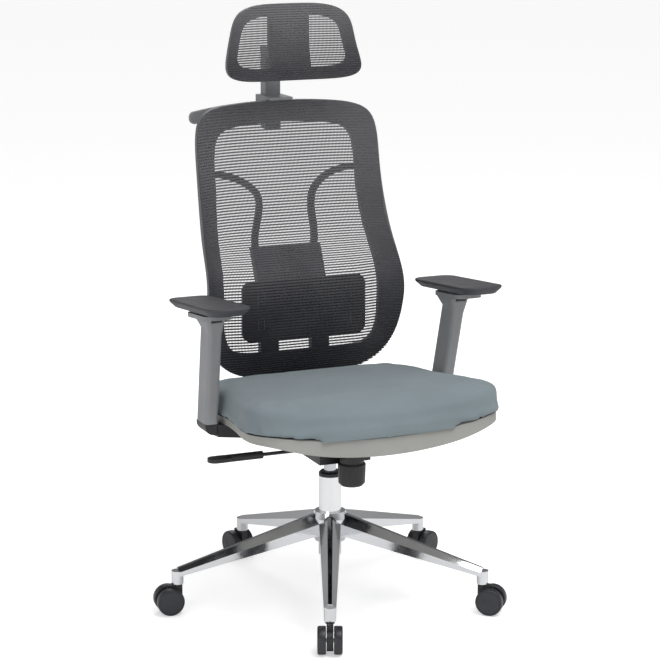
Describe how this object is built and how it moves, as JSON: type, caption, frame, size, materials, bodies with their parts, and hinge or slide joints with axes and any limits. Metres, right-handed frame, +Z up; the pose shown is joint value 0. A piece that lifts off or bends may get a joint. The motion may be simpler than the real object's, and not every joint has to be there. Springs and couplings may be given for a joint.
{
  "type": "office chair",
  "caption": "High-backed mesh office chair with headrest, adjustable arms, tilting seat, gas lift and a polished star base on casters.",
  "frame": {"origin": "on the floor under the middle of the column", "axes": "+Z up; the seat faces -Y; +X is towards the sitter's left, which is the viewer's right from in front"},
  "size_m": [0.7555, 0.7724, 1.2981],
  "materials": {
    "polished_alloy": "polished",
    "chrome": "polished",
    "bright_steel": "ground",
    "black_steel": "satin powder coat",
    "black_plastic": "fine grain",
    "grey_plastic": "fine grain",
    "frame_plastic": "fine grain",
    "shell_plastic": "fine grain",
    "pad_skin": "soft, fine grain",
    "seat_fabric": "close woven",
    "mesh_fabric": "open knitted mesh",
    "board": "plywood"
  },
  "bodies": {
    "base": {"star_base": "polished_alloy", "column_tube": "chrome", "column_bush": "black_plastic", "thrust_bearing": "bright_steel"},
    "rod": {"piston_rod": "bright_steel"},
    "lift": {"gas_cylinder": "bright_steel", "tilt_chassis": "black_steel", "tilt_pivot_pin": "bright_steel", "tension_spring": "bright_steel"},
    "button": {"gas_button": "bright_steel"},
    "lever_cam": {"lever_cam": "black_plastic"},
    "lever": {"lever_rod": "bright_steel", "lever_grip": "black_plastic"},
    "knob": {"tension_knob": "black_plastic"},
    "seat": {"tilt_plate": "black_steel", "seat_shell": "shell_plastic", "seat_board": "board", "seat_cushion": "seat_fabric", "seat_bolts": "bright_steel", "arm_l_bracket": "black_plastic", "arm_l_post": "bright_steel", "arm_r_bracket": "black_plastic", "arm_r_post": "bright_steel", "back_spine": "frame_plastic", "back_frame": "frame_plastic", "back_mesh": "mesh_fabric", "head_bracket": "grey_plastic", "coat_hanger": "grey_plastic"},
    "lumbar": {"lumbar_pad": "frame_plastic"},
    "head_post": {"head_stem": "grey_plastic"},
    "head": {"head_frame": "frame_plastic", "head_mesh": "mesh_fabric"},
    "arm_l": {"arm_l_sleeve": "grey_plastic"},
    "arm_button_l": {"arm_l_trigger": "black_plastic"},
    "pad_base_l": {"arm_l_pad_base": "black_plastic"},
    "pad_l": {"arm_l_pad": "pad_skin"},
    "arm_r": {"arm_r_sleeve": "grey_plastic"},
    "arm_button_r": {"arm_r_trigger": "black_plastic"},
    "pad_base_r": {"arm_r_pad_base": "black_plastic"},
    "pad_r": {"arm_r_pad": "pad_skin"},
    "caster_1": {"caster_1_housing": "black_plastic", "caster_1_pins": "bright_steel"},
    "wheel_1_a": {"caster_1_wheel_a": "black_plastic"},
    "wheel_1_b": {"caster_1_wheel_b": "black_plastic"},
    "caster_2": {"caster_2_housing": "black_plastic", "caster_2_pins": "bright_steel"},
    "wheel_2_a": {"caster_2_wheel_a": "black_plastic"},
    "wheel_2_b": {"caster_2_wheel_b": "black_plastic"},
    "caster_3": {"caster_3_housing": "black_plastic", "caster_3_pins": "bright_steel"},
    "wheel_3_a": {"caster_3_wheel_a": "black_plastic"},
    "wheel_3_b": {"caster_3_wheel_b": "black_plastic"},
    "caster_4": {"caster_4_housing": "black_plastic", "caster_4_pins": "bright_steel"},
    "wheel_4_a": {"caster_4_wheel_a": "black_plastic"},
    "wheel_4_b": {"caster_4_wheel_b": "black_plastic"},
    "caster_5": {"caster_5_housing": "black_plastic", "caster_5_pins": "bright_steel"},
    "wheel_5_a": {"caster_5_wheel_a": "black_plastic"},
    "wheel_5_b": {"caster_5_wheel_b": "black_plastic"}
  },
  "joints": [
    {"name": "swivel", "type": "hinge", "parent": "base", "child": "rod", "pos_m": [0, 0, 0.11], "axis": [0, 0, 1], "continuous": true},
    {"name": "lift", "type": "slide", "parent": "rod", "child": "lift", "axis": [0, 0, 1], "range_m": [0, 0.08]},
    {"name": "lever_lift", "type": "hinge", "parent": "lift", "child": "lever_cam", "pos_m": [-0.03, -0.03, 0.353], "axis": [0, 1, 0], "range_deg": [0, 7], "stiffness_Nm_per_rad": 0.8, "springref_deg": -17.19},
    {"name": "tilt_lock", "type": "slide", "parent": "lever_cam", "child": "lever", "axis": [-1, 0, 0], "range_m": [0, 0.015]},
    {"name": "gas_button_press", "type": "slide", "parent": "lift", "child": "button", "axis": [0, 0, -1], "range_m": [0, 0.0043]},
    {"name": "knob_turn", "type": "hinge", "parent": "lift", "child": "knob", "pos_m": [0, -0.12, 0.32], "axis": [0, 0, 1], "continuous": true},
    {"name": "recline", "type": "hinge", "parent": "lift", "child": "seat", "pos_m": [0, -0.07, 0.365], "axis": [-1, 0, 0], "range_deg": [0, 12], "stiffness_Nm_per_rad": 110, "springref_deg": -25.78},
    {"name": "lumbar_height", "type": "slide", "parent": "seat", "child": "lumbar", "axis": [0, 0, 1], "range_m": [-0.01, 0]},
    {"name": "head_height", "type": "slide", "parent": "seat", "child": "head_post", "axis": [0, 0, 1], "range_m": [0, 0.045]},
    {"name": "head_tilt", "type": "hinge", "parent": "head_post", "child": "head", "pos_m": [0, 0.256, 1.18], "axis": [1, 0, 0], "range_deg": [-20, 20]},
    {"name": "arm_height_l", "type": "slide", "parent": "seat", "child": "arm_l", "axis": [-0.0339, -0.2317, 0.9722], "range_m": [0, 0.07]},
    {"name": "arm_button_press_l", "type": "slide", "parent": "arm_l", "child": "arm_button_l", "axis": [-0.0081, 0.9728, 0.2316], "range_m": [0, 0.003], "stiffness_N_per_m": 400, "springref_m": -0.003},
    {"name": "pad_turn_l", "type": "hinge", "parent": "arm_l", "child": "pad_base_l", "pos_m": [-0.28546, -0.03276, 0.667], "axis": [0, 0.0958, 0.9954], "range_deg": [-20, 20]},
    {"name": "pad_slide_l", "type": "slide", "parent": "pad_base_l", "child": "pad_l", "axis": [0, 0.9954, -0.0958], "range_m": [-0.025, 0.025]},
    {"name": "arm_height_r", "type": "slide", "parent": "seat", "child": "arm_r", "axis": [0.0339, -0.2317, 0.9722], "range_m": [0, 0.07]},
    {"name": "arm_button_press_r", "type": "slide", "parent": "arm_r", "child": "arm_button_r", "axis": [0.0081, 0.9728, 0.2316], "range_m": [0, 0.003], "stiffness_N_per_m": 400, "springref_m": -0.003},
    {"name": "pad_turn_r", "type": "hinge", "parent": "arm_r", "child": "pad_base_r", "pos_m": [0.28546, -0.03276, 0.667], "axis": [0, 0.0958, 0.9954], "range_deg": [-20, 20]},
    {"name": "pad_slide_r", "type": "slide", "parent": "pad_base_r", "child": "pad_r", "axis": [0, 0.9954, -0.0958], "range_m": [-0.025, 0.025]},
    {"name": "caster_swivel_1", "type": "hinge", "parent": "base", "child": "caster_1", "pos_m": [-0.13676, -0.32218, 0.06], "axis": [0, 0, 1], "continuous": true},
    {"name": "wheel_roll_1_a", "type": "hinge", "parent": "caster_1", "child": "wheel_1_a", "pos_m": [-0.14457, -0.34059, 0.03], "axis": [0.9205, -0.3907, 0], "continuous": true},
    {"name": "wheel_roll_1_b", "type": "hinge", "parent": "caster_1", "child": "wheel_1_b", "pos_m": [-0.14457, -0.34059, 0.03], "axis": [0.9205, -0.3907, 0], "continuous": true},
    {"name": "caster_swivel_2", "type": "hinge", "parent": "base", "child": "caster_2", "pos_m": [0.26415, -0.22962, 0.06], "axis": [0, 0, 1], "continuous": true},
    {"name": "wheel_roll_2_a", "type": "hinge", "parent": "caster_2", "child": "wheel_2_a", "pos_m": [0.27924, -0.24274, 0.03], "axis": [0.6561, 0.7547, 0], "continuous": true},
    {"name": "wheel_roll_2_b", "type": "hinge", "parent": "caster_2", "child": "wheel_2_b", "pos_m": [0.27924, -0.24274, 0.03], "axis": [0.6561, 0.7547, 0], "continuous": true},
    {"name": "caster_swivel_3", "type": "hinge", "parent": "base", "child": "caster_3", "pos_m": [0.30001, 0.18026, 0.06], "axis": [0, 0, 1], "continuous": true},
    {"name": "wheel_roll_3_a", "type": "hinge", "parent": "caster_3", "child": "wheel_3_a", "pos_m": [0.31715, 0.19056, 0.03], "axis": [-0.515, 0.8572, 0], "continuous": true},
    {"name": "wheel_roll_3_b", "type": "hinge", "parent": "caster_3", "child": "wheel_3_b", "pos_m": [0.31715, 0.19056, 0.03], "axis": [-0.515, 0.8572, 0], "continuous": true},
    {"name": "caster_swivel_4", "type": "hinge", "parent": "base", "child": "caster_4", "pos_m": [-0.07873, 0.34103, 0.06], "axis": [0, 0, 1], "continuous": true},
    {"name": "wheel_roll_4_a", "type": "hinge", "parent": "caster_4", "child": "wheel_4_a", "pos_m": [-0.08323, 0.36052, 0.03], "axis": [-0.9744, -0.225, 0], "continuous": true},
    {"name": "wheel_roll_4_b", "type": "hinge", "parent": "caster_4", "child": "wheel_4_b", "pos_m": [-0.08323, 0.36052, 0.03], "axis": [-0.9744, -0.225, 0], "continuous": true},
    {"name": "caster_swivel_5", "type": "hinge", "parent": "base", "child": "caster_5", "pos_m": [-0.34867, 0.03051, 0.06], "axis": [0, 0, 1], "continuous": true},
    {"name": "wheel_roll_5_a", "type": "hinge", "parent": "caster_5", "child": "wheel_5_a", "pos_m": [-0.36859, 0.03225, 0.03], "axis": [-0.0872, -0.9962, 0], "continuous": true},
    {"name": "wheel_roll_5_b", "type": "hinge", "parent": "caster_5", "child": "wheel_5_b", "pos_m": [-0.36859, 0.03225, 0.03], "axis": [-0.0872, -0.9962, 0], "continuous": true}
  ],
  "couplings": [
    {"joint": "gas_button_press", "follows": "lever_lift", "m_per_rad": 0.033}
  ]
}
